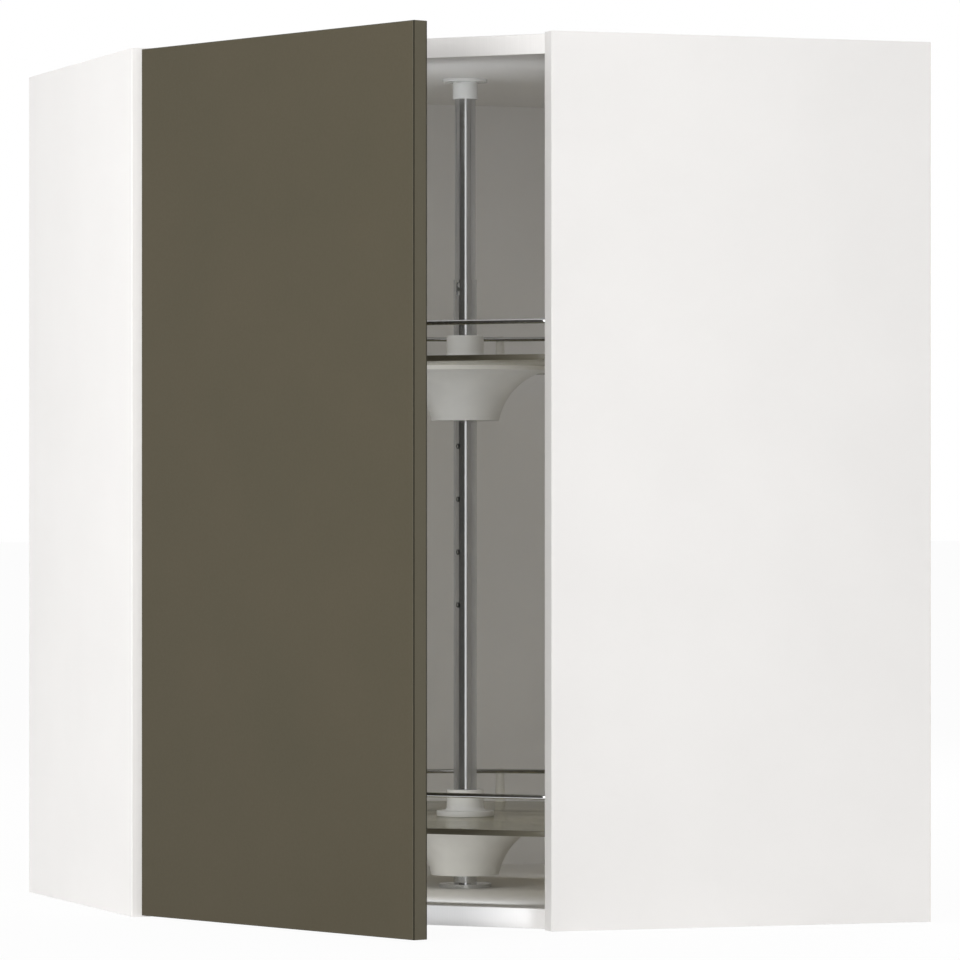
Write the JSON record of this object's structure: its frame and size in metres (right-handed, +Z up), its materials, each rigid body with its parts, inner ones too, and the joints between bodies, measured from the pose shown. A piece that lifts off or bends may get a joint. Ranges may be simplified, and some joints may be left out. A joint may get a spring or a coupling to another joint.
{
  "type": "corner wall cabinet with carousel",
  "caption": "Corner wall cabinet with a diagonal front, a side-hinged plain door standing ajar, and round railed glass trays that turn on a central pole.",
  "frame": {"origin": "on the underside of the cabinet, on the axis of the carousel pole", "axes": "+Z up; +X square to the room's right-hand wall, +Y square to the left-hand wall; the door faces the diagonal between -X and -Y"},
  "size_m": [0.668, 0.7442, 0.8],
  "materials": {
    "white_board": "white melamine foil on particle board, satin, very fine grain",
    "white_edging": "satin plastic edging",
    "olive_door": "super matte olive-brown lacquered board",
    "steel": "nickel-plated or zinc-plated steel",
    "chrome": "polished chrome plating",
    "white_cap": "glossy white plastic",
    "pale_plastic": "pale grey moulded plastic, satin",
    "smoke_glass": "smoke-tinted toughened glass, polished edge",
    "grey_plastic": "grey sliding plastic",
    "beech": "plain fluted beech dowel"
  },
  "bodies": {
    "cabinet": {"side_panel_left": "white_board", "side_panel_right": "white_board", "side_edging_left": "white_edging", "side_edging_right": "white_edging", "top_panel": "white_board", "bottom_panel": "white_board", "top_edging": "white_edging", "bottom_edging": "white_edging", "back_panel_left": "white_board", "back_panel_right": "white_board", "back_corner_strip": "pale_plastic", "panel_dowels": "beech", "cam_locks": "steel", "cam_bolts": "steel", "hanging_bracket_left": "steel", "hanging_bracket_right": "steel", "hanging_screws": "steel", "hinge_plate_upper": "steel", "hinge_plate_lower": "steel", "hinge_arm_upper": "steel", "hinge_arm_lower": "steel", "hinge_plate_screws": "steel", "hinge_arm_screws": "steel", "pole_base": "chrome", "pole_base_screws": "steel", "pole_lower_tube": "chrome", "pole_upper_tube": "chrome", "pole_lock_screw": "steel", "pole_top_cap": "white_cap", "pole_top_plate": "white_cap", "pole_top_screws": "steel", "tray_pins": "steel", "thrust_rings": "grey_plastic"},
    "door": {"door_board": "olive_door", "hinge_cup_upper": "steel", "hinge_cup_lower": "steel", "hinge_link_upper": "steel", "hinge_link_lower": "steel", "hinge_link_pins": "steel", "hinge_cup_screws": "steel", "door_bumpers": "pale_plastic"},
    "lower_tray_set": {"lower_tray": "smoke_glass", "lower_rail": "chrome", "lower_rail_posts": "pale_plastic", "lower_collar": "pale_plastic", "lower_funnel": "pale_plastic", "lower_tray_screws": "steel"},
    "upper_tray_set": {"upper_tray": "smoke_glass", "upper_rail": "chrome", "upper_rail_posts": "pale_plastic", "upper_collar": "pale_plastic", "upper_funnel": "pale_plastic", "upper_tray_screws": "steel"}
  },
  "joints": [
    {"name": "door_hinge", "type": "hinge", "parent": "cabinet", "child": "door", "pos_m": [-0.329, -0.0213, 0], "axis": [0, 0, -1], "range_deg": [-24.7, 70.3]},
    {"name": "lower_tray_turn", "type": "hinge", "parent": "cabinet", "child": "lower_tray_set", "pos_m": [0, 0, 0], "axis": [0, 0, 1], "range_deg": [-360, 360]},
    {"name": "upper_tray_turn", "type": "hinge", "parent": "cabinet", "child": "upper_tray_set", "pos_m": [0, 0, 0], "axis": [0, 0, 1], "range_deg": [-360, 360]}
  ]
}
